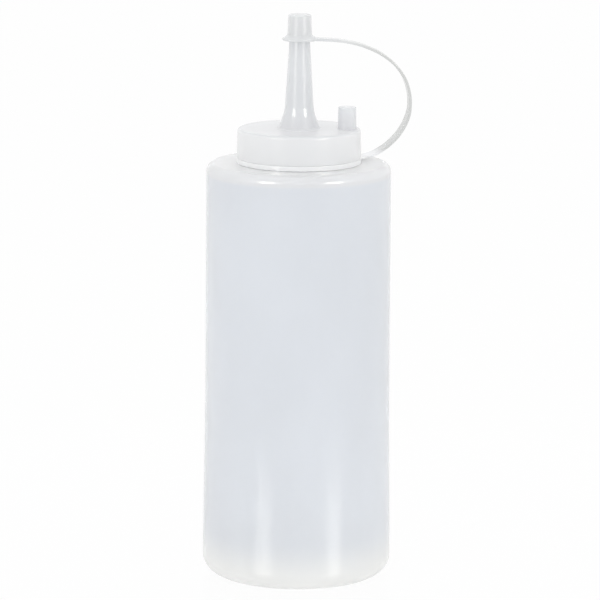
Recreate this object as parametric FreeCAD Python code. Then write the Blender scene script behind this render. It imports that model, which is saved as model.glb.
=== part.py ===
"""A squeeze bottle for sauces, with a screw cap, a long nozzle and a tethered tip cap.

Three separate mouldings, all centred on the Z axis:
  bottle     the thin-walled body, with its flat shoulder and threaded neck
  screw_cap  the cap, with the nozzle it tapers into and a stub where the tip cap is parked
  tip_cap    the tip cap, its strap and the neck ring that ties it to the bottle

Millimetres, +Z up. The origin is the centre of the base, on the surface the bottle stands on.
The strap loops towards +X.
"""
import FreeCAD
import Part
import math
import os

# ---- Body -------------------------------------------------------------------------------
shoulder_height = 142.5     # height of the flat shoulder
heel_radius = 32.35         # body, just above the rounded base corner
waist_height = 56.0         # where the lower taper gives way to the slighter upper one
waist_taper = 0.65          # how much narrower the body is at the waist than at the heel
shoulder_taper = 1.0        # how much narrower it is just below the rounded shoulder edge
corner_radius = 6.4         # rounding between the body and the base
shoulder_rounding = 3.0     # rounding between the body and the shoulder
wall = 0.9                  # body, base and shoulder
foot_width = 4.4            # flat ring that the bottle stands on
push_up = 1.6               # how far the middle of the base is pushed inwards
push_up_slope = 3.0         # width of the slope from the foot ring to the pushed-in middle

# ---- Neck and its thread ----------------------------------------------------------------
neck_radius = 17.5          # outside of the neck, between the threads
neck_wall = 1.5
thread_depth = 1.1
thread_pitch = 4.2
thread_root = 1.7           # width of a thread where it stands on the wall
thread_crest = 0.7          # width of a thread at its top
thread_below_rim = 2.4      # from the rim of the neck to the middle of the thread's upper end
thread_above_skirt = 1.5    # from the bottom of the skirt to the middle of its lower end
thread_clearance = 0.4      # between a thread's crest and the wall opposite
thread_bite = 0.3           # how deep a thread is rooted in its own wall

# ---- Screw cap --------------------------------------------------------------------------
skirt_height = 9.9
skirt_wall = 2.2            # at the lower edge of the skirt
skirt_draft = 0.3           # how much narrower the skirt is at its top
cap_edge_rounding = 1.1
cap_top_thickness = 1.4

# ---- Nozzle -----------------------------------------------------------------------------
nozzle_height = 37.5        # from the top of the cap to the tip
nozzle_foot_radius = 7.1    # where the conical foot meets the cap
nozzle_foot_height = 5.9
nozzle_base_radius = 4.93   # at the top of the conical foot
nozzle_tip_radius = 3.0
nozzle_wall = 1.1
nozzle_tip_rounding = 0.3

# ---- Stub for the tip cap while the bottle is in use ------------------------------------
stub_inset = 4.6            # from the edge of the cap's top to the middle of the stub
stub_azimuth = -5.0         # degrees, from +X towards +Y
stub_height = 7.6
stub_base_radius = 3.2
stub_top_radius = 3.0
stub_chamfer = 0.3

# ---- Tip cap ----------------------------------------------------------------------------
tip_cap_length = 8.8        # from the underside of the flange to the closed end
tip_cap_overhang = 1.2      # of the tip cap past the nozzle's tip
tip_cap_clearance = 0.08    # around the nozzle
tip_cap_end_thickness = 0.9
tip_cap_end_wall = 0.8      # of the sleeve, at its closed end
tip_cap_mouth_wall = 0.6    # of the sleeve, where it meets the flange
tip_cap_rounding = 0.5
flange_width = 1.75         # of the flange, outwards from the sleeve
flange_thickness = 0.7
gusset_height = 1.1         # cone between the sleeve and the flange

# ---- Neck ring and strap ----------------------------------------------------------------
ring_thickness = 1.7        # of the neck ring, which lies on the shoulder under the cap
ring_clearance = 0.2        # between the neck ring and the neck's thread
ring_rounding = 0.4
cap_gap = 0.1               # between the neck ring and the bottom of the cap's skirt
strap_thickness = 0.9
strap_width_at_tip = 4.3
strap_width_at_ring = 5.1
strap_standoff = 16.7       # from the neck ring to the outermost point of the loop
strap_standoff_height = 18.4  # of that outermost point above the shoulder
strap_upper_fullness = 2.27  # 2 bends the strap along an ellipse, and more fills it out
strap_lower_fullness = 1.85
strap_tip_azimuth = 2.0     # degrees, where the strap leaves the tip cap
strap_ring_azimuth = 16.0   # degrees, where it joins the neck ring
strap_root_overlap = 0.7    # how deep each end runs into the flange and the ring
strap_stations = 9          # sections along each half of the loop

# ---- Sizes that follow ------------------------------------------------------------------
waist_radius = heel_radius - waist_taper
shoulder_radius = heel_radius - shoulder_taper
ring_top = shoulder_height + ring_thickness
skirt_bottom = ring_top + cap_gap
cap_top = skirt_bottom + skirt_height
cap_underside = cap_top - cap_top_thickness
rim_height = cap_underside
thread_top = rim_height - thread_below_rim
thread_bottom = skirt_bottom + thread_above_skirt
skirt_inner_radius = neck_radius + thread_depth + thread_clearance
skirt_bottom_radius = skirt_inner_radius + skirt_wall
skirt_top_radius = skirt_bottom_radius - skirt_draft
ring_radius = skirt_bottom_radius
nozzle_foot_top = cap_top + nozzle_foot_height
nozzle_tip = cap_top + nozzle_height
tip_cap_top = nozzle_tip + tip_cap_overhang
flange_bottom = tip_cap_top - tip_cap_length

AXIS = FreeCAD.Vector(0, 0, 1)
ORIGIN = FreeCAD.Vector(0, 0, 0)


def nozzle_radius(height):
    """Outside radius of the nozzle's long cone at a height."""
    share = (height - nozzle_foot_top) / (nozzle_tip - nozzle_foot_top)
    return nozzle_base_radius + share * (nozzle_tip_radius - nozzle_base_radius)


def sleeve_bore(height):
    """Inside radius of the tip cap at a height."""
    return nozzle_radius(height) + tip_cap_clearance


tip_cap_mouth_radius = sleeve_bore(flange_bottom) + tip_cap_mouth_wall
flange_radius = tip_cap_mouth_radius + flange_width


# ---- Outlines ---------------------------------------------------------------------------
def at(radius, height):
    """A point of an outline, in the XZ plane."""
    return FreeCAD.Vector(radius, 0, height)


def lines(*points):
    """Straight edges from each point to the next."""
    return [Part.LineSegment(a, b).toShape() for a, b in zip(points, points[1:])]


def rounded(start, centre, end):
    """A round corner about centre, from start to end, as a list of one edge."""
    outwards = (start - centre) + (end - centre)
    middle = centre + outwards.normalize() * (start - centre).Length
    return [Part.Arc(start, middle, end).toShape()]


def turned(edges):
    """The solid made by turning a closed outline about the Z axis."""
    return Part.Face(Part.Wire(edges)).revolve(ORIGIN, AXIS, 360)


# ---- Bottle -----------------------------------------------------------------------------
def vessel(inset, throat_radius, throat_top):
    """The body's outline moved inwards by inset, open into a straight throat, as a solid."""
    floor = inset
    ceiling = shoulder_height - inset
    foot_outer = heel_radius - corner_radius
    foot_inner = foot_outer - foot_width
    flat_edge = shoulder_radius - shoulder_rounding
    panel_centre = at(0, floor + push_up)
    foot = at(foot_outer, floor)
    heel = at(heel_radius - inset, corner_radius)
    breast = at(shoulder_radius - inset, shoulder_height - shoulder_rounding)
    shoulder = at(flat_edge, ceiling)
    edges = lines(
        panel_centre,
        at(foot_inner - push_up_slope, floor + push_up),
        at(foot_inner, floor),
        foot,
    )
    edges += rounded(foot, at(foot_outer, corner_radius), heel)
    edges += lines(heel, at(waist_radius - inset, waist_height), breast)
    edges += rounded(breast, at(flat_edge, shoulder_height - shoulder_rounding), shoulder)
    edges += lines(
        shoulder,
        at(throat_radius, ceiling),
        at(throat_radius, throat_top),
        at(0, throat_top),
        panel_centre,
    )
    return turned(edges)


def thread(wall_radius, inwards, turn):
    """One helical thread on a round wall, turned about Z by an angle so that two can mesh."""
    sign = -1 if inwards else 1
    root = wall_radius - sign * thread_bite
    crest = wall_radius + sign * thread_depth
    profile = Part.makePolygon([
        at(root, thread_bottom - thread_root / 2),
        at(crest, thread_bottom - thread_crest / 2),
        at(crest, thread_bottom + thread_crest / 2),
        at(root, thread_bottom + thread_root / 2),
        at(root, thread_bottom - thread_root / 2),
    ])
    helix = Part.makeHelix(thread_pitch, thread_top - thread_bottom, wall_radius)
    helix.translate(FreeCAD.Vector(0, 0, thread_bottom))
    solid = Part.Wire(helix).makePipeShell([profile], True, True)
    solid.rotate(ORIGIN, AXIS, turn)
    return solid


def make_bottle():
    outside = vessel(0, neck_radius, rim_height)
    past_the_rim = rim_height + neck_wall
    inside = vessel(wall, neck_radius - neck_wall, past_the_rim)
    return outside.cut(inside).fuse(thread(neck_radius, False, 0)).removeSplitter()


# ---- Screw cap --------------------------------------------------------------------------
def make_stub():
    """The solid stub beside the nozzle, rooted in the cap's top."""
    root = cap_top - cap_top_thickness / 2
    top = cap_top + stub_height
    stub = turned(lines(
        at(0, root),
        at(stub_base_radius, root),
        at(stub_base_radius, cap_top),
        at(stub_top_radius, top - stub_chamfer),
        at(stub_top_radius - stub_chamfer, top),
        at(0, top),
        at(0, root),
    ))
    stub.translate(FreeCAD.Vector(skirt_top_radius - stub_inset, 0, 0))
    stub.rotate(ORIGIN, AXIS, stub_azimuth)
    return stub


def make_cap_shell():
    """The skirt, the flat top and the hollow nozzle, from the skirt's lower edge and back."""
    top_edge = skirt_top_radius - cap_edge_rounding
    tip_edge = nozzle_tip_radius - nozzle_tip_rounding
    skirt_side = at(skirt_top_radius, cap_top - cap_edge_rounding)
    cap_rim = at(top_edge, cap_top)
    tip_side = at(nozzle_tip_radius, nozzle_tip - nozzle_tip_rounding)
    tip_rim = at(tip_edge, nozzle_tip)
    skirt_foot = at(skirt_inner_radius, skirt_bottom)
    edges = lines(skirt_foot, at(skirt_bottom_radius, skirt_bottom), skirt_side)
    edges += rounded(skirt_side, at(top_edge, cap_top - cap_edge_rounding), cap_rim)
    edges += lines(
        cap_rim,
        at(nozzle_foot_radius, cap_top),
        at(nozzle_base_radius, nozzle_foot_top),
        tip_side,
    )
    edges += rounded(tip_side, at(tip_edge, nozzle_tip - nozzle_tip_rounding), tip_rim)
    edges += lines(
        tip_rim,
        at(nozzle_tip_radius - nozzle_wall, nozzle_tip),
        at(nozzle_radius(cap_underside) - nozzle_wall, cap_underside),
        at(skirt_inner_radius, cap_underside),
        skirt_foot,
    )
    return turned(edges)


def make_screw_cap():
    cap_thread = thread(skirt_inner_radius, True, 180)
    return make_cap_shell().fuse([make_stub(), cap_thread]).removeSplitter()


# ---- Tip cap with its tether ------------------------------------------------------------
def make_sleeve():
    """The closed sleeve over the nozzle's tip, with the flange around its mouth."""
    flange_top = flange_bottom + flange_thickness
    bore_end = tip_cap_top - tip_cap_end_thickness
    end_radius = sleeve_bore(bore_end) + tip_cap_end_wall
    end_edge = end_radius - tip_cap_rounding
    side_top = at(end_radius, tip_cap_top - tip_cap_rounding)
    end_rim = at(end_edge, tip_cap_top)
    bore_centre = at(0, bore_end)
    edges = lines(
        bore_centre,
        at(sleeve_bore(bore_end), bore_end),
        at(sleeve_bore(flange_bottom), flange_bottom),
        at(flange_radius, flange_bottom),
        at(flange_radius, flange_top),
        at(tip_cap_mouth_radius, flange_top + gusset_height),
        side_top,
    )
    edges += rounded(side_top, at(end_edge, tip_cap_top - tip_cap_rounding), end_rim)
    edges += lines(end_rim, at(0, tip_cap_top), bore_centre)
    return turned(edges)


def make_ring():
    """The flat ring that lies on the shoulder around the neck, under the cap's skirt."""
    inner = neck_radius + thread_depth + ring_clearance
    edge = ring_radius - ring_rounding
    low_edge = at(edge, shoulder_height)
    low_side = at(ring_radius, shoulder_height + ring_rounding)
    high_side = at(ring_radius, ring_top - ring_rounding)
    high_edge = at(edge, ring_top)
    edges = lines(at(inner, shoulder_height), low_edge)
    edges += rounded(low_edge, at(edge, shoulder_height + ring_rounding), low_side)
    edges += lines(low_side, high_side)
    edges += rounded(high_side, at(edge, ring_top - ring_rounding), high_edge)
    edges += lines(high_edge, at(inner, ring_top), at(inner, shoulder_height))
    return turned(edges)


def strap_point(turn):
    """A point on the strap's middle line and its azimuth in radians.

    The turn runs from 0 at the tip cap to 180 at the neck ring. Seen from the side the loop is
    two quarters of superellipses that meet at its outermost point, and its azimuth swings from
    the tip cap's to the neck ring's on the way, which twists it.
    """
    outermost_radius = ring_radius + strap_standoff
    outermost_height = shoulder_height + strap_standoff_height
    if turn <= 90:
        start_radius = flange_radius - strap_root_overlap
        start_height = flange_bottom + strap_thickness / 2
        power = 2 / strap_upper_fullness
    else:
        start_radius = ring_radius - strap_root_overlap
        start_height = shoulder_height + ring_thickness / 2
        power = 2 / strap_lower_fullness
    out = abs(math.sin(math.radians(turn))) ** power
    off = abs(math.cos(math.radians(turn))) ** power
    radius = start_radius + (outermost_radius - start_radius) * out
    height = outermost_height + (start_height - outermost_height) * off
    share = turn / 180
    swing = share * share * (3 - 2 * share)
    azimuth = strap_tip_azimuth + swing * (strap_ring_azimuth - strap_tip_azimuth)
    angle = math.radians(azimuth)
    return FreeCAD.Vector(radius * math.cos(angle), radius * math.sin(angle), height), angle


def strap_section(turn):
    """The strap's rectangular section, square to its middle line."""
    centre, angle = strap_point(turn)
    step = 0.01
    before = strap_point(max(turn - step, 0))[0]
    after = strap_point(min(turn + step, 180))[0]
    along = (after - before).normalize()
    across = FreeCAD.Vector(-math.sin(angle), math.cos(angle), 0)
    across = (across - along * across.dot(along)).normalize()
    outwards = across.cross(along)
    width = strap_width_at_tip + turn / 180 * (strap_width_at_ring - strap_width_at_tip)
    side = across * (width / 2)
    half = outwards * (strap_thickness / 2)
    inner_edge = centre - side - half
    return Part.makePolygon([
        inner_edge,
        centre + side - half,
        centre + side + half,
        centre - side + half,
        inner_edge,
    ])


def make_strap():
    turns = [90 * i / strap_stations for i in range(2 * strap_stations + 1)]
    return Part.makeLoft([strap_section(turn) for turn in turns], True)


def make_tip_cap():
    return make_sleeve().fuse([make_ring(), make_strap()]).removeSplitter()


# ---- Files ------------------------------------------------------------------------------
nodes = {
    "bottle": make_bottle(),
    "screw_cap": make_screw_cap(),
    "tip_cap": make_tip_cap(),
}
os.makedirs("parts", exist_ok=True)
for name, shape in nodes.items():
    shape.exportStep("parts/" + name + ".step")
    print(name, "solids", len(shape.Solids), "valid", shape.isValid(),
          "volume %.0f mm3" % shape.Volume)
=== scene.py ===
import math

import bpy
import bmesh
from bpy.props import FloatProperty, FloatVectorProperty, PointerProperty
from mathutils import Matrix, Vector


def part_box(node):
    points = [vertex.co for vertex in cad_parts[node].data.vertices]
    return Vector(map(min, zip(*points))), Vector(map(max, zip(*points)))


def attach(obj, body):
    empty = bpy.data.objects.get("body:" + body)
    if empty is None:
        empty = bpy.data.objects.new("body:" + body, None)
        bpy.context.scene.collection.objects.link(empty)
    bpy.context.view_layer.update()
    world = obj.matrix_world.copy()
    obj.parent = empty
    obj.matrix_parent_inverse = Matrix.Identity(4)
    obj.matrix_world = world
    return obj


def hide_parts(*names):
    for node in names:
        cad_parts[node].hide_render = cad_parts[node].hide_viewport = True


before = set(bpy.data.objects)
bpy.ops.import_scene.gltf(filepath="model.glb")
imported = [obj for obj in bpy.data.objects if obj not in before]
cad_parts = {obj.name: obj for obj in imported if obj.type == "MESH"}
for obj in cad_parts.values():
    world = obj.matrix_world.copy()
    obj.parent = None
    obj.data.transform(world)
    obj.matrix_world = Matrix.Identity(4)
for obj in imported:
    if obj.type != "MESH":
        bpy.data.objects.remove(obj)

bl_info = {
    "name": "Squeeze Bottle",
    "version": (1, 0, 0),
    "blender": (4, 5, 0),
    "location": "View3D > Sidebar > Squeeze Bottle",
    "description": "Models a translucent squeeze bottle with a nozzle and a tethered tip cap",
    "category": "Add Mesh",
}

MM = 0.001
WELD = 0.002 * MM           # vertices closer than this are one
ALONG_Z = Vector((0, 0, 1))
ORIGIN = Vector((0, 0, 0))

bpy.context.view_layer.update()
BOTTLE_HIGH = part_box("bottle")[1]
CAP_LOW, CAP_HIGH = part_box("screw_cap")
TIP_LOW, TIP_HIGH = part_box("tip_cap")

# Heights and radii that the frame gives
HEEL_RADIUS = BOTTLE_HIGH.x
RIM_HEIGHT = BOTTLE_HIGH.z
SHOULDER_HEIGHT = TIP_LOW.z
SKIRT_BOTTOM = CAP_LOW.z
SKIRT_RADIUS = CAP_HIGH.x
NOZZLE_TIP = CAP_HIGH.z
TIP_CAP_TOP = TIP_HIGH.z
RING_RADIUS = TIP_HIGH.y

SEAT_GAP = 0.03 * MM        # left between pieces that touch
BOW = 600 * MM              # rounding between the lower and the upper taper of the wall
TALL_WALL = 8 * MM, 138 * MM    # heights between which the wall is cut into short edges
WALL_RADII = 25 * MM, 40 * MM   # between which the wall lies, but not the neck
WALL_CUTS = 11              # per taper, so that the wall can be uneven
BODY_STEPS = 160            # around the axis
CAP_STEPS = 128
SLEEVE_STEPS = 96
STUB_STEPS = 48
THREAD_STEPS = 96           # per turn
THREAD_BITE = 0.3 * MM      # how deep a thread's root runs into its wall

STRAP_ROOT = 0.7 * MM       # how deep each end of the strap runs into the flange and the ring
STRAP_FLARE = 0.8 * MM      # how much wider the strap is at its roots
STRAP_BENDS = 12            # stretches of the curve that the strap follows
STRAP_STATIONS = 72         # short lengths that the bent strap is made of

WALL_LOW = 14 * MM          # from here up, the wall is uneven and shows its parting line
WALL_HIGH = 137 * MM
WALL_FADE = 12 * MM         # over which the unevenness grows
WAVE_SIZE = 28 * MM         # size of the slow waves in the wall

CAMERA_PLACE = (0.00072, -1.3, 0.34712)
CAMERA_PITCH = math.radians(10.982)
CAMERA_ROLL = math.radians(0.4057)
CAMERA_LENS = 232.58
SENSOR_WIDTH = 36
LAMP_AIM = Vector((0, 0, 0.09))
LAMP_DISTANCE = 1.2
TOP_LAMP_HEIGHT = 1         # above what it is aimed at
TOP_LAMP_SIZE = 0.8
SIDEWAYS = 0.3, 0.9         # from the first to the second share, light is from the side
FLOOR_SIZE = 8
FLOOR_WHITE = 0.88
PLATE_INDEX = 2.5           # of the floor's glossy part
PLATE_CORE = 0.6            # share of its radius that is fully glossy

# Where one look of the plastic gives way to another: heights or radii of start and end
BASE_ZONE = 18 * MM
BASE_COLOUR = BASE_ZONE, 0.2 * BASE_ZONE
BASE_CLEARING = 0.1 * BASE_ZONE, BASE_ZONE
# Painted light: the shoulder and its rounding are made lighter, as if lit from above
SHOULDER_PAINTED_LIGHT = SHOULDER_HEIGHT - 4.6 * MM, SHOULDER_HEIGHT - 3.2 * MM
LID_EDGE = SKIRT_BOTTOM + 9.1 * MM
# Painted shade: the cap's top is darker, to even out the extra light of the lamp overhead
LID_PAINTED_SHADE = LID_EDGE, LID_EDGE + 0.8 * MM
NOZZLE_COLOUR = LID_EDGE + 2 * MM, LID_EDGE + 9 * MM
NOZZLE_CLEARING = LID_EDGE + 2 * MM, LID_EDGE + 12 * MM
# These mark the strap, which is painted darker: painted shade
PAST_FLANGE = 6 * MM, 28 * MM           # radii
UPPER_STRAP = 150 * MM, 155 * MM        # heights
LOWER_STRAP = 22 * MM, 26 * MM          # radii
# Painted light: the neck ring is made lighter, in place of the shade it lies in under the skirt
RING_PAINTED_LIGHT = 147 * MM, 144.5 * MM
SLEEVE_CLEARING = 145 * MM, 190 * MM

CLOUD_SIZE = 30 * MM        # size of the faint clouds in the plastic
SCUFF_SIZE = 6 * MM         # size of the duller places on its surface
SCUFFS = -0.04, 0.06        # what they take from the haze at the least, and add at the most
COAT_INDEX = 1.5            # of solid plastic
SHEEN_ROUGHNESS = 0.4
SHEEN_TINT = 1.0, 0.99, 0.97, 1


# ---- What a user may change --------------------------------------------------------------
def length(name, millimetres, description):
    """A length that is shown in the scene's own unit."""
    return FloatProperty(name=name, description=description, default=millimetres * MM,
                         min=0.0, unit="LENGTH", subtype="DISTANCE", precision=5)


def turn(name, degrees, description):
    """An angle that is shown in degrees."""
    return FloatProperty(name=name, description=description, default=math.radians(degrees),
                         unit="ROTATION", subtype="ANGLE")


def share(name, value, description):
    """A number from 0 to 1."""
    return FloatProperty(name=name, description=description, default=value, min=0.0, max=1.0,
                         subtype="FACTOR")


def tint(name, value, description):
    """A linear colour."""
    return FloatVectorProperty(name=name, description=description, default=value, size=3,
                               min=0.0, max=1.0, subtype="COLOR")


class SqueezeBottleBody(bpy.types.PropertyGroup):
    """Sizes of the blow-moulded body and its neck"""
    wall: length("Wall", 0.9, "Thickness of the body, its base and its shoulder")
    waist_height: length("Waist height", 56, "Where the lower taper gives way to the upper one")
    waist_taper: length("Waist taper", 0.65, "How much narrower the waist is than the heel")
    shoulder_taper: length("Shoulder taper", 1.0, "How much narrower the body is at its top")
    corner_radius: length("Base corner", 6.4, "Rounding between the body and the base")
    shoulder_rounding: length("Shoulder rounding", 3.0, "Rounding between body and shoulder")
    foot_width: length("Foot width", 4.4, "Flat ring that the bottle stands on")
    push_up: length("Push-up", 1.6, "How far the middle of the base is pushed in")
    push_up_slope: length("Push-up slope", 3.0, "Width of the slope around the pushed-in part")
    neck_radius: length("Neck radius", 17.5, "Outside of the neck between its threads")
    neck_wall: length("Neck wall", 1.5, "Thickness of the neck")
    seam_width: length("Parting line width", 0.3, "Width of the line where the mould closes")
    seam_height: length("Parting line height", 0.06, "How far that line stands out")
    unevenness: length("Unevenness", 0.14, "How far the blown wall strays from round")


class SqueezeBottleThread(bpy.types.PropertyGroup):
    """Sizes of the thread on the neck and of the one in the cap"""
    depth: length("Depth", 1.1, "How far a thread stands out of its wall")
    pitch: length("Pitch", 4.2, "Height of one turn")
    root: length("Root width", 1.7, "Width where it stands on the wall")
    crest: length("Crest width", 0.7, "Width at its top")
    below_rim: length("Below the rim", 2.4, "From the rim to the thread's upper end")
    above_skirt: length("Above the skirt", 1.5, "From the skirt's bottom to its lower end")
    clearance: length("Clearance", 0.4, "Between a thread and the wall opposite")


class SqueezeBottleCap(bpy.types.PropertyGroup):
    """Sizes of the screw cap, its nozzle and its stub"""
    skirt_height: length("Skirt height", 9.9, "From the skirt's lower edge to the cap's top")
    skirt_draft: length("Skirt draft", 0.3, "How much narrower the skirt is at its top")
    edge_rounding: length("Edge rounding", 1.1, "Rounding between the skirt and the top")
    top_thickness: length("Top thickness", 1.4, "Thickness of the cap's top")
    nozzle_foot_radius: length("Foot radius", 7.1, "Nozzle's foot where it meets the cap")
    nozzle_foot_height: length("Foot height", 5.9, "Height of the nozzle's conical foot")
    nozzle_base_radius: length("Nozzle base radius", 4.93, "Nozzle just above its foot")
    nozzle_tip_radius: length("Nozzle tip radius", 3.0, "Nozzle at its tip")
    nozzle_wall: length("Nozzle wall", 1.1, "Thickness of the nozzle")
    stub_inset: length("Stub inset", 4.6, "From the edge of the cap's top to the stub's middle")
    stub_azimuth: turn("Stub azimuth", -5, "Where the stub stands, from the strap's side")
    stub_height: length("Stub height", 7.6, "How far the stub stands out of the cap")
    stub_base_radius: length("Stub base radius", 3.2, "Stub where it meets the cap")
    stub_top_radius: length("Stub top radius", 3.0, "Stub at its top")


class SqueezeBottleTip(bpy.types.PropertyGroup):
    """Sizes of the tip cap, its strap and its neck ring"""
    length: length("Length", 8.8, "From the underside of the flange to the closed end")
    clearance: length("Clearance", 0.08, "Between the tip cap and the nozzle")
    end_thickness: length("End thickness", 0.9, "Thickness of the closed end")
    end_wall: length("End wall", 0.8, "Thickness of the sleeve at its closed end")
    mouth_wall: length("Mouth wall", 0.6, "Thickness of the sleeve at its mouth")
    flange_width: length("Flange width", 1.75, "How far the flange stands out of the sleeve")
    flange_thickness: length("Flange thickness", 0.7, "Thickness of the flange")
    gusset_height: length("Gusset height", 1.1, "Cone between the sleeve and the flange")
    ring_clearance: length("Ring clearance", 0.2, "Between the neck ring and the thread")
    ring_rounding: length("Ring rounding", 0.2, "Rounding of the neck ring's edges")
    strap_thickness: length("Strap thickness", 0.9, "Thickness of the strap")
    strap_width_at_tip: length("Strap width at tip", 4.3, "Width where it leaves the flange")
    strap_width_at_ring: length("Strap width at ring", 5.1, "Width where it joins the ring")
    strap_rounding: length("Strap rounding", 0.22, "Rounding of the strap's long edges")
    strap_standoff: length("Strap standoff", 16.7,
                           "From the neck ring to the loop's outermost point")
    strap_standoff_height: length("Standoff height", 18.4, "Of that point above the shoulder")
    strap_upper_fullness: FloatProperty(
        name="Upper fullness", default=2.27, min=1.5, max=3.0,
        description="2 bends the upper half along an ellipse, and more fills it out")
    strap_lower_fullness: FloatProperty(
        name="Lower fullness", default=1.85, min=1.5, max=3.0,
        description="2 bends the lower half along an ellipse, and more fills it out")
    strap_tip_azimuth: turn("Azimuth at tip", 2, "Where the strap leaves the tip cap")
    strap_ring_azimuth: turn("Azimuth at ring", 16, "Where the strap joins the neck ring")


class SqueezeBottlePlastic(bpy.types.PropertyGroup):
    """Look of the uncoloured plastic"""
    body_colour: tint("Body colour", (0.932, 0.956, 0.996), "Colour of the blown body's thin wall")
    base_colour: tint("Base colour", (0.985, 0.99, 0.985), "Colour of its thick base")
    # Partly thicker plastic, partly painted light: lit from above on the shoulder, lifted out of
    # its shade on the ring
    thick_and_lit_colour: tint("Thick and lit colour", (0.985, 0.988, 1.0), "Colour of its shoulder and the ring")
    cap_colour: tint("Cap colour", (0.98, 0.985, 1.0), "Colour of the screw cap's skirt")
    # Painted shade: darker than the skirt, against the lamp overhead
    lid_shade_colour: tint("Lid colour", (0.86, 0.865, 0.89), "Colour of the screw cap's top")
    nozzle_colour: tint("Nozzle colour", (0.925, 0.94, 0.962), "Colour of the nozzle and the stub")
    tip_colour: tint("Tip cap colour", (0.90, 0.91, 0.925), "Colour of the tip cap's sleeve")
    # Painted shade: darker than the tip cap's own plastic
    strap_shade_colour: tint("Strap colour", (0.69, 0.695, 0.688), "Colour of the thin strap")
    base_clarity: share("Base clarity", 0.2, "How much light passes through its thick base")
    body_clarity: share("Body clarity", 0.45, "How much light passes through the body")
    cap_clarity: share("Cap clarity", 0.15, "How much light passes through the screw cap")
    nozzle_clarity: share("Nozzle clarity", 0.30, "How much light passes through the nozzle")
    tip_clarity: share("Tip cap clarity", 0.25, "How much light passes through the tip cap")
    body_haze: share("Body haze", 0.45, "How much the body blurs what is seen through it")
    cap_haze: share("Cap haze", 0.40, "How much the cap blurs what is seen through it")
    tip_haze: share("Tip cap haze", 0.40, "How much the tip cap blurs what is seen through it")
    cloudiness: share("Cloudiness", 0.03, "How much the plastic's colour varies")
    edge_glow: share("Edge glow", 0.15, "How much light the haze scatters at grazing angles")
    body_gloss: share("Body gloss", 1.0, "Weight of the body's glossy surface")
    cap_gloss: share("Cap gloss", 0.85, "Weight of the screw cap's glossy surface")
    tip_gloss: share("Tip cap gloss", 0.8, "Weight of the tip cap's glossy surface")
    gloss_roughness: share("Gloss roughness", 0.19, "How much the surface blurs reflections")
    wall_index: FloatProperty(name="Wall index", default=1.12, min=1.0, max=1.6,
                              description="How strongly a wall bends the light that crosses it")
    grain_size: length("Grain size", 1.2, "Size of the surface's fine orange peel")
    grain_height: length("Grain height", 0.004, "Height of the surface's fine orange peel")
    tip_grain: length("Tip cap grain", 0.0008, "Height of the same on the thin tip cap and strap")
    streak_width: length("Streak width", 5.0, "Width of the upright streaks of the blown wall")
    streak_height: length("Streak height", 0.02, "Height of the upright streaks")


class SqueezeBottleStage(bpy.types.PropertyGroup):
    """Lamps, floor and camera"""
    world_light: FloatProperty(name="World light", default=1.0, min=0.0,
                               description="Strength of the even light from all around")
    front_colour: tint("Front colour", (0.975, 0.99, 1.0), "Colour of the light from the front")
    side_colour: tint("Side colour", (1.0, 0.99, 0.955), "Colour of the light from the sides")
    top_light: FloatProperty(name="Top light", default=0.3, min=0.0,
                             description="Radiance of the soft lamp overhead")
    left_light: FloatProperty(name="Left light", default=11.4, min=0.0,
                              description="Radiance of the reflected lamp on the left")
    right_light: FloatProperty(name="Right light", default=12.3, min=0.0,
                               description="Radiance of the reflected lamp on the right")
    left_azimuth: turn("Left azimuth", 40, "From the camera's side to the left lamp")
    right_azimuth: turn("Right azimuth", 46, "From the camera's side to the right lamp")
    lamp_elevation: turn("Lamp elevation", 16, "Height angle of the lamps at the sides")
    lamp_colour: tint("Lamp colour", (1.0, 0.97, 0.90), "Colour of the lamps at the sides")
    lamp_width: length("Lamp width", 400, "Width of the lamps at the sides")
    lamp_height: length("Lamp height", 480, "Height of the lamps at the sides")
    plate_radius: length("Plate radius", 240, "Radius of the glossy part of the floor")
    plate_roughness: share("Plate roughness", 0.15, "Roughness of the glossy part of the floor")
    plate_mirror: share("Plate mirror", 0.5, "How much the glossy part mirrors the lamps")
    floor_glow: share("Floor glow", 0.93, "How much of the floor's white is its own")
    floor_fill: share("Floor fill", 0.5, "How much the floor's glow fills the object's shadow")


PLACES = (
    ("squeeze_bottle_body", SqueezeBottleBody),
    ("squeeze_bottle_thread", SqueezeBottleThread),
    ("squeeze_bottle_cap", SqueezeBottleCap),
    ("squeeze_bottle_tip", SqueezeBottleTip),
    ("squeeze_bottle_plastic", SqueezeBottlePlastic),
    ("squeeze_bottle_stage", SqueezeBottleStage),
)


# ---- Modelling by hand -------------------------------------------------------------------
def clear_selection():
    """Object mode, with nothing selected."""
    if bpy.context.object and bpy.context.object.mode != "OBJECT":
        bpy.ops.object.mode_set(mode="OBJECT")
    bpy.ops.object.select_all(action="DESELECT")


def pick(choose, what="VERT"):
    """Selects the vertices, edges or faces in edit mode for which choose is true."""
    bpy.ops.mesh.select_mode(type=what)
    bpy.ops.mesh.select_all(action="DESELECT")
    mesh = bpy.context.object.data
    shape = bmesh.from_edit_mesh(mesh)
    elements = {"VERT": shape.verts, "EDGE": shape.edges, "FACE": shape.faces}[what]
    chosen = [element for element in elements if choose(element)]
    if not chosen:
        raise RuntimeError("nothing to select on " + mesh.name)
    for element in chosen:
        element.select_set(True)
    shape.select_flush_mode()
    bmesh.update_edit_mesh(mesh)


def at(radius, height):
    """A place on the outline, in the XZ plane."""
    return Vector((radius, 0, height))


def near(place, reach=0.01 * MM):
    """True of a vertex that lies at a place."""
    return lambda vertex: (vertex.co - place).length < reach


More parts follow.
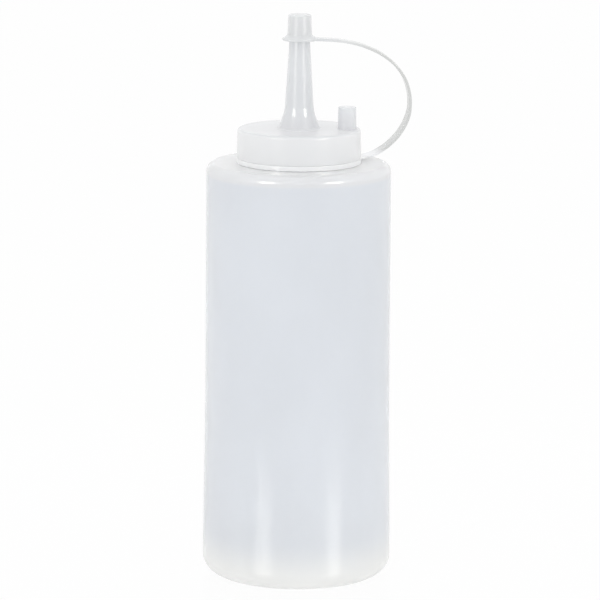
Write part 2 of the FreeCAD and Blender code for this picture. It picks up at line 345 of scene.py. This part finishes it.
def draw_outline(name, corners, segments):
    """Starts a mesh with a chain of edges in the XZ plane, and leaves it in edit mode.

    Each corner is a radius, a height and a rounding. A chain that returns to its first corner
    is closed.
    """
    clear_selection()
    places = [at(radius, height) for radius, height, rounding in corners]
    bpy.ops.mesh.primitive_plane_add(size=MM, location=ORIGIN)
    piece = bpy.context.object
    piece.name = piece.data.name = name
    bpy.ops.object.mode_set(mode="EDIT")
    bpy.ops.mesh.select_mode(type="VERT")
    bpy.ops.mesh.select_all(action="SELECT")
    bpy.ops.mesh.merge(type="CENTER")
    bpy.ops.transform.translate(value=places[0])
    for start, end in zip(places, places[1:]):
        bpy.ops.mesh.extrude_region_move(TRANSFORM_OT_translate={"value": end - start})
    bpy.ops.mesh.select_all(action="SELECT")
    bpy.ops.mesh.remove_doubles(threshold=WELD)
    for index, (radius, height, rounding) in enumerate(corners):
        if not rounding:
            continue
        before = places[index - 1] if index else places[-2]
        after = places[index + 1]
        bend = (places[index] - before).angle(after - places[index])
        pick(near(places[index]))
        bpy.ops.mesh.bevel(offset_type="OFFSET", offset=rounding * math.tan(bend / 2),
                           segments=segments, affect="VERTICES")
    return piece


def divide_run(low, high, radius_low, radius_high, cuts):
    """Cuts a straight stretch of the outline into shorter edges."""
    def inside(edge):
        heights = [vertex.co.z for vertex in edge.verts]
        radii = [vertex.co.x for vertex in edge.verts]
        return (min(heights) > low and max(heights) < high
                and min(radii) > radius_low and max(radii) < radius_high)
    pick(inside, "EDGE")
    bpy.ops.mesh.subdivide(number_cuts=cuts)


def face_outwards():
    """Turns all faces of a closed shell outwards, in edit mode."""
    bpy.ops.mesh.select_all(action="SELECT")
    bpy.ops.mesh.normals_make_consistent(inside=False)
    if bmesh.from_edit_mesh(bpy.context.object.data).calc_volume(signed=True) < 0:
        bpy.ops.mesh.flip_normals()


def turn_outline(steps):
    """Spins the drawn outline about the Z axis into a closed shell with its faces outwards."""
    bpy.ops.mesh.select_mode(type="VERT")
    bpy.ops.mesh.select_all(action="SELECT")
    bpy.ops.mesh.spin(steps=steps, angle=math.tau, center=ORIGIN, axis=ALONG_Z)
    bpy.ops.mesh.select_all(action="SELECT")
    bpy.ops.mesh.remove_doubles(threshold=WELD)
    face_outwards()
    bpy.ops.object.mode_set(mode="OBJECT")


def only(piece):
    """Makes a piece the one selected and active object, in object mode."""
    clear_selection()
    piece.select_set(True)
    bpy.context.view_layer.objects.active = piece


def apply(piece, kind, **settings):
    """Adds a modifier to a piece and applies it."""
    only(piece)
    modifier = piece.modifiers.new(kind.title(), kind)
    for key, value in settings.items():
        setattr(modifier, key, value)
    bpy.ops.object.modifier_apply(modifier=modifier.name)


def join_solid(piece, part):
    """Unites a second closed solid with a piece, and removes the second."""
    apply(piece, "BOOLEAN", operation="UNION", object=part, solver="EXACT")
    bpy.data.objects.remove(part)


def smooth(piece, degrees=35):
    """Shades a piece smooth up to an angle, with large faces kept flat."""
    only(piece)
    bpy.ops.object.shade_smooth_by_angle(angle=math.radians(degrees))
    apply(piece, "WEIGHTED_NORMAL", keep_sharp=True, weight=60)


def make_thread(name, wall_radius, inwards, sizes):
    """A helical thread that is rooted a little way in a round wall."""
    sign = -1 if inwards else 1
    low = SKIRT_BOTTOM + sizes.above_skirt
    high = RIM_HEIGHT - sizes.below_rim
    root = wall_radius - sign * THREAD_BITE
    crest = wall_radius + sign * sizes.depth
    outline = [(root, low - sizes.root / 2, 0), (crest, low - sizes.crest / 2, 0),
               (crest, low + sizes.crest / 2, 0), (root, low + sizes.root / 2, 0),
               (root, low - sizes.root / 2, 0)]
    piece = draw_outline(name, outline, 1)
    turns = (high - low) / sizes.pitch
    steps = round(THREAD_STEPS * turns)
    apply(piece, "SCREW", angle=math.tau * turns, screw_offset=high - low, steps=steps,
          render_steps=steps)
    bpy.ops.object.mode_set(mode="EDIT")
    bpy.ops.mesh.select_all(action="SELECT")
    bpy.ops.mesh.fill_holes(sides=len(outline))
    face_outwards()
    bpy.ops.object.mode_set(mode="OBJECT")
    return piece


# ---- Pieces ------------------------------------------------------------------------------
def finish_piece(piece, node):
    """Puts a finished piece in the place of its CAD node, which it hides."""
    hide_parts(node)
    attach(piece, "root")


def make_uneven(body, depth):
    """Pulls the wall in by up to a depth, as the blown wall is never quite round or even."""
    group = body.vertex_groups.new(name="wall")
    for vertex in body.data.vertices:
        from_ends = min(vertex.co.z - WALL_LOW, WALL_HIGH - vertex.co.z)
        if from_ends > 0:
            group.add([vertex.index], min(1.0, from_ends / WALL_FADE), "REPLACE")
    waves = bpy.data.textures.new("slow waves", "CLOUDS")
    waves.noise_scale = WAVE_SIZE
    waves.noise_depth = 1
    apply(body, "DISPLACE", texture=waves, texture_coords="LOCAL", direction="NORMAL",
          mid_level=1.0, strength=depth, vertex_group="wall")
    body.vertex_groups.clear()


def make_parting_line(body, sizes):
    """Raises the fine upright line on each side where the halves of the mould met."""
    only(body)
    bpy.ops.object.mode_set(mode="EDIT")
    half = sizes.seam_width / 2

    def on_wall(face):
        middle = face.calc_center_median()
        heights = [vertex.co.z for vertex in face.verts]
        return (WALL_LOW < min(heights) and max(heights) < WALL_HIGH and abs(middle.y) < 3 * MM
                and math.hypot(middle.x, middle.y) > HEEL_RADIUS - sizes.shoulder_taper
                - sizes.wall / 2 - sizes.unevenness)

    for side in (-half, half):
        pick(on_wall, "FACE")
        bpy.ops.mesh.bisect(plane_co=(0, side, 0), plane_no=(0, 1, 0))

    def on_line(face):
        return on_wall(face) and abs(face.calc_center_median().y) < half

    pick(on_line, "FACE")
    bpy.ops.mesh.inset(thickness=sizes.seam_height / 2, depth=sizes.seam_height,
                       use_even_offset=True)
    bpy.ops.object.mode_set(mode="OBJECT")


class OBJECT_OT_squeeze_bottle_body(bpy.types.Operator):
    """Model the thin-walled body with its flat shoulder and threaded neck"""
    bl_idname = "object.squeeze_bottle_body"
    bl_label = "Bottle Body"

    def execute(self, context):
        sizes = context.scene.squeeze_bottle_body
        wall = sizes.wall
        corner = sizes.corner_radius
        rim = RIM_HEIGHT - SEAT_GAP
        inner_neck = sizes.neck_radius - sizes.neck_wall
        foot_inner = HEEL_RADIUS - corner - sizes.foot_width
        panel = foot_inner - sizes.push_up_slope
        taper = sizes.waist_taper / (sizes.waist_height - corner)
        heel = HEEL_RADIUS + taper * corner
        waist = HEEL_RADIUS - sizes.waist_taper
        breast = HEEL_RADIUS - sizes.shoulder_taper
        outline = [
            (0, sizes.push_up, 0),
            (panel, sizes.push_up, 2.0 * MM),
            (foot_inner, 0, 1.2 * MM),
            (heel, 0, corner),
            (waist, sizes.waist_height, BOW),
            (breast, SHOULDER_HEIGHT, sizes.shoulder_rounding),
            (sizes.neck_radius, SHOULDER_HEIGHT, 0.4 * MM),
            (sizes.neck_radius, rim, 0.35 * MM),
            (inner_neck, rim, 0.35 * MM),
            (inner_neck, SHOULDER_HEIGHT - wall, 1.0 * MM),
            (breast - wall, SHOULDER_HEIGHT - wall, sizes.shoulder_rounding - wall),
            (waist - wall, sizes.waist_height, BOW),
            (heel - wall, wall, corner - wall),
            (foot_inner, wall, 1.2 * MM),
            (panel, sizes.push_up + wall, 2.0 * MM),
            (0, sizes.push_up + wall, 0),
        ]
        body = draw_outline("bottle_body", outline, 8)
        divide_run(*TALL_WALL, *WALL_RADII, WALL_CUTS)
        turn_outline(BODY_STEPS)
        make_uneven(body, sizes.unevenness)
        make_parting_line(body, sizes)
        threads = context.scene.squeeze_bottle_thread
        thread = make_thread("neck_thread", sizes.neck_radius, False, threads)
        join_solid(body, thread)
        smooth(body)
        finish_piece(body, "bottle")
        return {"FINISHED"}


def cap_top(sizes):
    """Height of the screw cap's flat top."""
    return SKIRT_BOTTOM + sizes.skirt_height


def nozzle_radius(sizes, height):
    """Outside radius of the nozzle's long cone at a height."""
    foot_top = cap_top(sizes) + sizes.nozzle_foot_height
    part = (height - foot_top) / (NOZZLE_TIP - foot_top)
    return sizes.nozzle_base_radius + part * (sizes.nozzle_tip_radius - sizes.nozzle_base_radius)


def make_stub(sizes):
    """The solid stub beside the nozzle, rooted in the cap's top."""
    root = cap_top(sizes) - sizes.top_thickness / 2
    top = cap_top(sizes) + sizes.stub_height
    outline = [
        (0, root, 0),
        (sizes.stub_base_radius, root, 0),
        (sizes.stub_base_radius, cap_top(sizes), 0),
        (sizes.stub_top_radius, top, 0.3 * MM),
        (0, top, 0),
    ]
    stub = draw_outline("stub", outline, 3)
    turn_outline(STUB_STEPS)
    reach = SKIRT_RADIUS - sizes.skirt_draft - sizes.stub_inset
    only(stub)
    bpy.ops.transform.translate(value=Matrix.Rotation(sizes.stub_azimuth, 3, "Z")
                                @ Vector((reach, 0, 0)))
    bpy.ops.object.transform_apply()
    return stub


class OBJECT_OT_squeeze_bottle_cap(bpy.types.Operator):
    """Model the screw cap with its hollow nozzle, its thread and the stub beside the nozzle"""
    bl_idname = "object.squeeze_bottle_cap"
    bl_label = "Screw Cap"

    def execute(self, context):
        sizes = context.scene.squeeze_bottle_cap
        neck = context.scene.squeeze_bottle_body.neck_radius
        threads = context.scene.squeeze_bottle_thread
        top = cap_top(sizes)
        underside = top - sizes.top_thickness
        skirt_inner = neck + threads.depth + threads.clearance
        bore_bottom = nozzle_radius(sizes, underside) - sizes.nozzle_wall
        outline = [
            (skirt_inner, SKIRT_BOTTOM, 0.25 * MM),
            (SKIRT_RADIUS, SKIRT_BOTTOM, 0.2 * MM),
            (SKIRT_RADIUS - sizes.skirt_draft, top, sizes.edge_rounding),
            (sizes.nozzle_foot_radius, top, 1.0 * MM),
            (sizes.nozzle_base_radius, top + sizes.nozzle_foot_height, 12 * MM),
            (sizes.nozzle_tip_radius, NOZZLE_TIP, 0.3 * MM),
            (sizes.nozzle_tip_radius - sizes.nozzle_wall, NOZZLE_TIP, 0.2 * MM),
            (bore_bottom, underside, 0.6 * MM),
            (skirt_inner, underside, 0.5 * MM),
            (skirt_inner, SKIRT_BOTTOM, 0),
        ]
        cap = draw_outline("cap_and_nozzle", outline, 6)
        turn_outline(CAP_STEPS)
        join_solid(cap, make_thread("cap_thread", skirt_inner, True, threads))
        join_solid(cap, make_stub(sizes))
        smooth(cap)
        finish_piece(cap, "screw_cap")
        return {"FINISHED"}


def make_sleeve(sizes, cap_sizes):
    """The closed sleeve over the nozzle's tip, with the flange around its mouth."""
    flange_bottom = TIP_CAP_TOP - sizes.length
    flange_top = flange_bottom + sizes.flange_thickness
    bore_end = TIP_CAP_TOP - sizes.end_thickness
    bore = nozzle_radius(cap_sizes, bore_end) + sizes.clearance
    mouth = nozzle_radius(cap_sizes, flange_bottom) + sizes.clearance
    mouth_outer = mouth + sizes.mouth_wall
    flange = mouth_outer + sizes.flange_width
    outline = [
        (0, bore_end, 0),
        (bore, bore_end, 0.25 * MM),
        (mouth, flange_bottom, 0.15 * MM),
        (flange, flange_bottom, 0.18 * MM),
        (flange, flange_top, 0.22 * MM),
        (mouth_outer, flange_top + sizes.gusset_height, 0.8 * MM),
        (bore + sizes.end_wall, TIP_CAP_TOP, 0.5 * MM),
        (0, TIP_CAP_TOP, 0),
    ]
    sleeve = draw_outline("tip_cap_and_strap", outline, 5)
    turn_outline(SLEEVE_STEPS)
    return sleeve, flange_bottom, flange


def make_ring(sizes, inner):
    """The flat ring that lies on the shoulder around the neck, under the cap's skirt."""
    bottom = SHOULDER_HEIGHT + SEAT_GAP
    top = SKIRT_BOTTOM - SEAT_GAP
    outline = [
        (inner, bottom, 0.2 * MM),
        (RING_RADIUS, bottom, sizes.ring_rounding),
        (RING_RADIUS, top, sizes.ring_rounding),
        (inner, top, 0.2 * MM),
        (inner, bottom, 0),
    ]
    ring = draw_outline("neck_ring", outline, 4)
    turn_outline(CAP_STEPS)
    return ring


def strap_place(sizes, turned, flange_bottom, flange):
    """A place on the strap's middle line, which is two quarters of superellipses.

    The turn runs from 0 degrees at the tip cap to 180 at the neck ring, and the azimuth swings
    from the tip cap's to the neck ring's on the way.
    """
    out_radius = RING_RADIUS + sizes.strap_standoff
    out_height = SHOULDER_HEIGHT + sizes.strap_standoff_height
    if turned <= 90:
        start_radius = flange - STRAP_ROOT
        start_height = flange_bottom + sizes.strap_thickness / 2
        power = 2 / sizes.strap_upper_fullness
    else:
        start_radius = RING_RADIUS - STRAP_ROOT
        start_height = (SHOULDER_HEIGHT + SKIRT_BOTTOM) / 2
        power = 2 / sizes.strap_lower_fullness
    out = abs(math.sin(math.radians(turned))) ** power
    off = abs(math.cos(math.radians(turned))) ** power
    radius = start_radius + (out_radius - start_radius) * out
    height = out_height + (start_height - out_height) * off
    part = turned / 180
    swing = part * part * (3 - 2 * part)
    sweep = sizes.strap_ring_azimuth - sizes.strap_tip_azimuth
    azimuth = sizes.strap_tip_azimuth + swing * sweep
    return Vector((radius * math.cos(azimuth), radius * math.sin(azimuth), height))


def make_strap_path(sizes, flange_bottom, flange):
    """The smooth curve that the strap is bent along."""
    clear_selection()
    bpy.ops.curve.primitive_bezier_curve_add(location=ORIGIN)
    path = bpy.context.object
    path.data.resolution_u = 24
    path.data.twist_mode = "MINIMUM"
    bpy.ops.object.mode_set(mode="EDIT")
    bpy.ops.curve.select_all(action="SELECT")
    bpy.ops.curve.subdivide(number_cuts=STRAP_BENDS - 1)
    tilt = 0
    before = None
    for index, point in enumerate(path.data.splines[0].bezier_points):
        point.co = strap_place(sizes, 180 * index / STRAP_BENDS, flange_bottom, flange)
        azimuth = math.atan2(point.co.y, point.co.x)
        if before:
            step = point.co - before[0]
            tilt -= step.z / step.length * (azimuth - before[1])
        point.tilt = tilt
        before = point.co.copy(), azimuth
    bpy.ops.curve.select_all(action="SELECT")
    bpy.ops.curve.handle_type_set(type="AUTOMATIC")
    bpy.ops.object.mode_set(mode="OBJECT")
    return path


def make_strap(sizes, flange_bottom, flange):
    """A straight bar of rounded section that widens at its roots, bent along the strap's path."""
    path = make_strap_path(sizes, flange_bottom, flange)
    reach = path.data.splines[0].calc_length()
    clear_selection()
    bpy.ops.mesh.primitive_plane_add(size=1, location=ORIGIN, rotation=(0, math.pi / 2, 0))
    strap = bpy.context.object
    strap.name = "strap"
    strap.scale = (sizes.strap_thickness, sizes.strap_width_at_tip, 1)
    bpy.ops.object.transform_apply()
    bpy.ops.object.mode_set(mode="EDIT")
    bpy.ops.mesh.select_mode(type="VERT")
    bpy.ops.mesh.select_all(action="SELECT")
    bpy.ops.mesh.bevel(offset=sizes.strap_rounding, segments=3, affect="VERTICES")
    bpy.ops.mesh.select_all(action="SELECT")

    def width(place):
        part = place / reach
        plain = (sizes.strap_width_at_tip
                 + part * (sizes.strap_width_at_ring - sizes.strap_width_at_tip))
        from_root = min(place, reach - place)
        return plain + STRAP_FLARE * math.exp(-from_root / STRAP_FLARE)

    bpy.ops.transform.resize(value=(1, width(0) / sizes.strap_width_at_tip, 1))
    for index in range(STRAP_STATIONS):
        here, there = reach * index / STRAP_STATIONS, reach * (index + 1) / STRAP_STATIONS
        bpy.ops.mesh.extrude_region_move(TRANSFORM_OT_translate={"value": (there - here, 0, 0)})
        bpy.ops.transform.resize(value=(1, width(there) / width(here), 1))
    face_outwards()
    bpy.ops.object.mode_set(mode="OBJECT")
    apply(strap, "CURVE", object=path, deform_axis="POS_X")
    bpy.data.objects.remove(path)
    return strap


class OBJECT_OT_squeeze_bottle_tip_cap(bpy.types.Operator):
    """Model the tip cap with its strap and the neck ring that ties it to the bottle"""
    bl_idname = "object.squeeze_bottle_tip_cap"
    bl_label = "Tip Cap and Strap"

    def execute(self, context):
        sizes = context.scene.squeeze_bottle_tip
        neck = context.scene.squeeze_bottle_body.neck_radius
        depth = context.scene.squeeze_bottle_thread.depth
        tip, flange_bottom, flange = make_sleeve(sizes, context.scene.squeeze_bottle_cap)
        join_solid(tip, make_strap(sizes, flange_bottom, flange))
        join_solid(tip, make_ring(sizes, neck + depth + sizes.ring_clearance))
        smooth(tip)
        finish_piece(tip, "tip_cap")
        return {"FINISHED"}


# ---- Finish ------------------------------------------------------------------------------
def add_node(tree, kind, inputs, **settings):
    """Adds a node; an input takes a number, a colour or another node's output."""
    node = tree.nodes.new("ShaderNode" + kind)
    for key, value in settings.items():
        setattr(node, key, value)
    for key, value in inputs.items():
        if isinstance(value, bpy.types.NodeSocket):
            tree.links.new(value, node.inputs[key])
        else:
            node.inputs[key].default_value = value
    return node


def reckon(tree, operation, first, second):
    """A sum, product or the like of two numbers."""
    return add_node(tree, "Math", {0: first, 1: second}, operation=operation).outputs[0]


def ramp(tree, value, start, end, low=0.0, high=1.0):
    """A number that goes smoothly from low to high while the value goes from start to end."""
    inputs = {"Value": value, "From Min": start, "From Max": end, "To Min": low, "To Max": high}
    return add_node(tree, "MapRange", inputs, interpolation_type="SMOOTHSTEP").outputs["Result"]


def mix_colour(tree, part, first, second, blend="MIX"):
    """Two colours mixed."""
    return add_node(tree, "Mix", {0: part, 6: first, 7: second}, data_type="RGBA",
                    blend_type=blend).outputs[2]


def noise(tree, place, stretch, size, detail=2.0):
    """Soft noise from 0 to 1, of a size in metres, with the place stretched first."""
    turned = add_node(tree, "Mapping", {"Vector": place, "Scale": stretch})
    inputs = {"Vector": turned.outputs[0], "Scale": 1 / size, "Detail": detail}
    return add_node(tree, "TexNoise", inputs).outputs["Fac"]


def bump(tree, height, distance, before=None):
    """Relief of a height in metres, on top of other relief."""
    node = add_node(tree, "Bump", {"Height": height, "Distance": distance, "Strength": 1.0})
    if before:
        tree.links.new(before, node.inputs["Normal"])
    return node.outputs[0]


def zone(tree, value, limits, colour, other):
    """The first colour up to the first limit, and the other one past the second."""
    return mix_colour(tree, ramp(tree, value, *limits), colour, (*other, 1))


def zones(tree, kind, place, look):
    """Colour and clarity of a kind of plastic, which change from part to part of the piece; the
    lighter shoulder and ring are partly painted light, and the darker cap top and strap are
    painted shade.
    """
    height = add_node(tree, "SeparateXYZ", {0: place}).outputs["Z"]
    level = add_node(tree, "VectorMath", {0: place, 1: (1, 1, 0)}, operation="MULTIPLY")
    radius = add_node(tree, "VectorMath", {0: level.outputs[0]}, operation="LENGTH").outputs[1]
    if kind == "body":
        colour = zone(tree, height, BASE_COLOUR, (*look.body_colour, 1), look.base_colour)
        # Painted light: the shoulder is lighter, as if lit from above
        colour = zone(tree, height, SHOULDER_PAINTED_LIGHT, colour, look.thick_and_lit_colour)
        return colour, ramp(tree, height, *BASE_CLEARING, look.base_clarity, look.body_clarity)
    if kind == "cap":
        # Painted shade: the cap's top is darker than its skirt, against the lamp overhead
        colour = zone(tree, height, LID_PAINTED_SHADE, (*look.cap_colour, 1), look.lid_shade_colour)
        colour = zone(tree, height, NOZZLE_COLOUR, colour, look.nozzle_colour)
        return colour, ramp(tree, height, *NOZZLE_CLEARING, look.cap_clarity, look.nozzle_clarity)
    # Painted shade: the strap is darker than the rest of the piece
    past_flange = ramp(tree, radius, *PAST_FLANGE)
    upper = reckon(tree, "MULTIPLY", past_flange, ramp(tree, height, *UPPER_STRAP))
    on_strap = reckon(tree, "MAXIMUM", upper, ramp(tree, radius, *LOWER_STRAP))
    colour = mix_colour(tree, on_strap, (*look.tip_colour, 1), (*look.strap_shade_colour, 1))
    # Painted light: the neck ring is lighter, in place of the shade under the skirt
    colour = zone(tree, height, RING_PAINTED_LIGHT, colour, look.thick_and_lit_colour)
    clearing = ramp(tree, height, *SLEEVE_CLEARING, 0.0, look.tip_clarity)
    return colour, ramp(tree, on_strap, 0, 0.5, clearing, 0.0)


def plastic(name, look, kind):
    """Uncoloured plastic that lets light through, hazy inside and glossy on the outside.

    The index is low because a thin even wall hardly bends what is seen through it; the coat
    gives the surface the gloss of solid plastic.
    """
    material = bpy.data.materials.new(name)
    material.use_nodes = True
    tree = material.node_tree
    shader = tree.nodes["Principled BSDF"]
    place = add_node(tree, "TexCoord", {}).outputs["Object"]
    colour, clarity = zones(tree, kind, place, look)
    haze = getattr(look, kind + "_haze")
    grain = look.tip_grain if kind == "tip" else look.grain_height
    relief = bump(tree, noise(tree, place, (1, 1, 1), look.grain_size), grain)
    if kind == "body":
        streaks = noise(tree, place, (1, 1, 0.05), look.streak_width)
        relief = bump(tree, streaks, look.streak_height, relief)
    clouds = noise(tree, place, (1, 1, 0.5), CLOUD_SIZE, 3.0)
    shade = ramp(tree, clouds, 0.3, 0.7, 1 - look.cloudiness, 1.0)
    shaded = add_node(tree, "CombineColor", {0: shade, 1: shade, 2: shade}).outputs[0]
    scuffs = noise(tree, place, (1, 1, 1), SCUFF_SIZE, 4.0)
    inputs = {
        "Base Color": mix_colour(tree, 1.0, colour, shaded, "MULTIPLY"),
        "Roughness": ramp(tree, scuffs, 0.35, 0.75, haze + SCUFFS[0], haze + SCUFFS[1]),
        "Transmission Weight": clarity,
        "IOR": look.wall_index,
        "Normal": relief,
        "Sheen Weight": look.edge_glow,
        "Sheen Roughness": SHEEN_ROUGHNESS,
        "Sheen Tint": SHEEN_TINT,
        "Coat Weight": getattr(look, kind + "_gloss"),
        "Coat Roughness": look.gloss_roughness,
        "Coat IOR": COAT_INDEX,
        "Coat Normal": relief,
    }
    for key, value in inputs.items():
        if isinstance(value, bpy.types.NodeSocket):
            tree.links.new(value, shader.inputs[key])
        else:
            shader.inputs[key].default_value = value
    return material


def dress(piece, material):
    """Gives a whole piece one material."""
    piece.data.materials.clear()
    piece.data.materials.append(material)


class OBJECT_OT_squeeze_bottle_plastics(bpy.types.Operator):
    """Make the plastics and give each piece its own"""
    bl_idname = "object.squeeze_bottle_plastics"
    bl_label = "Plastics"

    def execute(self, context):
        look = context.scene.squeeze_bottle_plastic
        dress(bpy.data.objects["bottle_body"], plastic("blown plastic", look, "body"))
        dress(bpy.data.objects["cap_and_nozzle"], plastic("moulded plastic", look, "cap"))
        dress(bpy.data.objects["tip_cap_and_strap"], plastic("tip plastic", look, "tip"))
        return {"FINISHED"}


# ---- Stage -------------------------------------------------------------------------------
def seen_by(tree, *rays):
    """The output that is 1 on the named kinds of ray and 0 on others."""
    path = add_node(tree, "LightPath", {})
    seen = path.outputs[rays[0]]
    for ray in rays[1:]:
        seen = reckon(tree, "MAXIMUM", seen, path.outputs[ray])
    return seen


def make_world(stage):
    """Even light all around, a little warmer from the sides, seen as plain white directly, in
    reflections and through plastic."""
    world = bpy.data.worlds.new("studio")
    bpy.context.scene.world = world
    world.use_nodes = True
    tree = world.node_tree
    background = tree.nodes["Background"]
    direction = add_node(tree, "TexCoord", {}).outputs["Generated"]
    parts = add_node(tree, "SeparateXYZ", {0: direction}).outputs
    seen = seen_by(tree, "Is Camera Ray", "Is Glossy Ray", "Is Transmission Ray")
    sideways = add_node(tree, "Math", {0: parts["X"]}, operation="ABSOLUTE").outputs[0]
    tinted = mix_colour(tree, ramp(tree, sideways, *SIDEWAYS), (*stage.front_colour, 1),
                        (*stage.side_colour, 1))
    tree.links.new(mix_colour(tree, seen, tinted, (1, 1, 1, 1)), background.inputs["Color"])
    strength = add_node(tree, "Mix", {0: seen, 2: stage.world_light, 3: 1.0}).outputs[0]
    tree.links.new(strength, background.inputs["Strength"])


def make_floor(stage):
    """A white floor that is glossy around the bottle and keeps a faint shadow."""
    clear_selection()
    bpy.ops.mesh.primitive_plane_add(size=FLOOR_SIZE, location=ORIGIN)
    floor = bpy.context.object
    floor.name = "floor"
    material = bpy.data.materials.new("white floor")
    material.use_nodes = True
    tree = material.node_tree
    shader = tree.nodes["Principled BSDF"]
    shader.inputs["Base Color"].default_value = (FLOOR_WHITE, FLOOR_WHITE, FLOOR_WHITE, 1)
    place = add_node(tree, "TexCoord", {}).outputs["Object"]
    distance = add_node(tree, "VectorMath", {0: place}, operation="LENGTH").outputs["Value"]
    shader.inputs["Roughness"].default_value = stage.plate_roughness
    shader.inputs["IOR"].default_value = PLATE_INDEX
    gloss = ramp(tree, distance, stage.plate_radius, stage.plate_radius * PLATE_CORE)
    tree.links.new(gloss, shader.inputs["Specular IOR Level"])
    tree.links.new(reckon(tree, "MULTIPLY", gloss, stage.plate_mirror), shader.inputs["Metallic"])
    glow = add_node(tree, "Emission", {"Color": (1, 1, 1, 1), "Strength": 1.0})
    seen = seen_by(tree, "Is Camera Ray", "Is Transmission Ray")
    part = add_node(tree, "Mix", {0: seen, 2: stage.floor_fill, 3: stage.floor_glow}).outputs[0]
    mix = add_node(tree, "MixShader", {0: part, 1: shader.outputs[0], 2: glow.outputs[0]})
    tree.links.new(mix.outputs[0], tree.nodes["Material Output"].inputs["Surface"])
    dress(floor, material)


def make_lamp(name, place, aim, size, radiance):
    """A rectangular soft lamp of even radiance that shines from a place towards another."""
    clear_selection()
    bpy.ops.object.light_add(type="AREA", location=place)
    lamp = bpy.context.object
    lamp.name = name
    lamp.data.shape = "RECTANGLE"
    lamp.data.size, lamp.data.size_y = size
    lamp.data.energy = radiance * math.pi * size[0] * size[1]
    lamp.rotation_euler = (Vector(aim) - Vector(place)).to_track_quat("-Z", "Y").to_euler()
    lamp.visible_camera = False
    return lamp


def make_side_lamp(name, stage, azimuth, radiance):
    """A tall lamp in front of the bottle, to the side, that only shows in reflections."""
    level = LAMP_DISTANCE * math.cos(stage.lamp_elevation)
    place = Vector((level * math.sin(azimuth), -level * math.cos(azimuth),
                    LAMP_AIM.z + LAMP_DISTANCE * math.sin(stage.lamp_elevation)))
    lamp = make_lamp(name, place, LAMP_AIM, (stage.lamp_width, stage.lamp_height), radiance)
    lamp.data.color = stage.lamp_colour
    lamp.visible_diffuse = False
    lamp.visible_transmission = False


def make_camera():
    """A long lens that looks slightly down on the bottle."""
    clear_selection()
    bpy.ops.object.camera_add(location=CAMERA_PLACE)
    camera = bpy.context.object
    camera.rotation_euler = (Matrix.Rotation(math.pi / 2 - CAMERA_PITCH, 3, "X")
                             @ Matrix.Rotation(CAMERA_ROLL, 3, "Z")).to_euler()
    camera.data.sensor_width = SENSOR_WIDTH
    camera.data.lens = CAMERA_LENS
    camera.data.clip_start = 0.05
    camera.data.clip_end = 30
    bpy.context.scene.camera = camera


class SCENE_OT_squeeze_bottle_stage(bpy.types.Operator):
    """Set up the floor, the even light, the soft lamps and the camera"""
    bl_idname = "scene.squeeze_bottle_stage"
    bl_label = "Stage"

    def execute(self, context):
        stage = context.scene.squeeze_bottle_stage
        make_world(stage)
        make_floor(stage)
        overhead = LAMP_AIM + TOP_LAMP_HEIGHT * ALONG_Z
        make_lamp("top lamp", overhead, LAMP_AIM, (TOP_LAMP_SIZE, TOP_LAMP_SIZE), stage.top_light)
        make_side_lamp("left lamp", stage, -stage.left_azimuth, stage.left_light)
        make_side_lamp("right lamp", stage, stage.right_azimuth, stage.right_light)
        context.scene.view_settings.view_transform = "Standard"
        make_camera()
        return {"FINISHED"}


# ---- Panel and registration --------------------------------------------------------------
class VIEW3D_PT_squeeze_bottle(bpy.types.Panel):
    """Buttons that model the bottle piece by piece, and the sizes they use"""
    bl_label = "Squeeze Bottle"
    bl_idname = "VIEW3D_PT_squeeze_bottle"
    bl_space_type = "VIEW_3D"
    bl_region_type = "UI"
    bl_category = "Squeeze Bottle"

    def draw(self, context):
        for step in STEPS:
            self.layout.operator(step.bl_idname)
        for name, group in PLACES:
            box = self.layout.box()
            box.label(text=group.__doc__)
            for key in group.__annotations__:
                box.prop(getattr(context.scene, name), key)


STEPS = (
    OBJECT_OT_squeeze_bottle_body,
    OBJECT_OT_squeeze_bottle_cap,
    OBJECT_OT_squeeze_bottle_tip_cap,
    OBJECT_OT_squeeze_bottle_plastics,
    SCENE_OT_squeeze_bottle_stage,
)
CLASSES = tuple(group for name, group in PLACES) + STEPS + (VIEW3D_PT_squeeze_bottle,)


def register():
    for item in CLASSES:
        bpy.utils.register_class(item)
    for name, group in PLACES:
        setattr(bpy.types.Scene, name, PointerProperty(type=group))


def unregister():
    for name, group in PLACES:
        delattr(bpy.types.Scene, name)
    for item in reversed(CLASSES):
        bpy.utils.unregister_class(item)


def main():
    register()
    bpy.ops.object.squeeze_bottle_body()
    bpy.ops.object.squeeze_bottle_cap()
    bpy.ops.object.squeeze_bottle_tip_cap()
    bpy.ops.object.squeeze_bottle_plastics()
    bpy.ops.scene.squeeze_bottle_stage()
    bpy.context.view_layer.update()


if __name__ == "__main__":
    main()
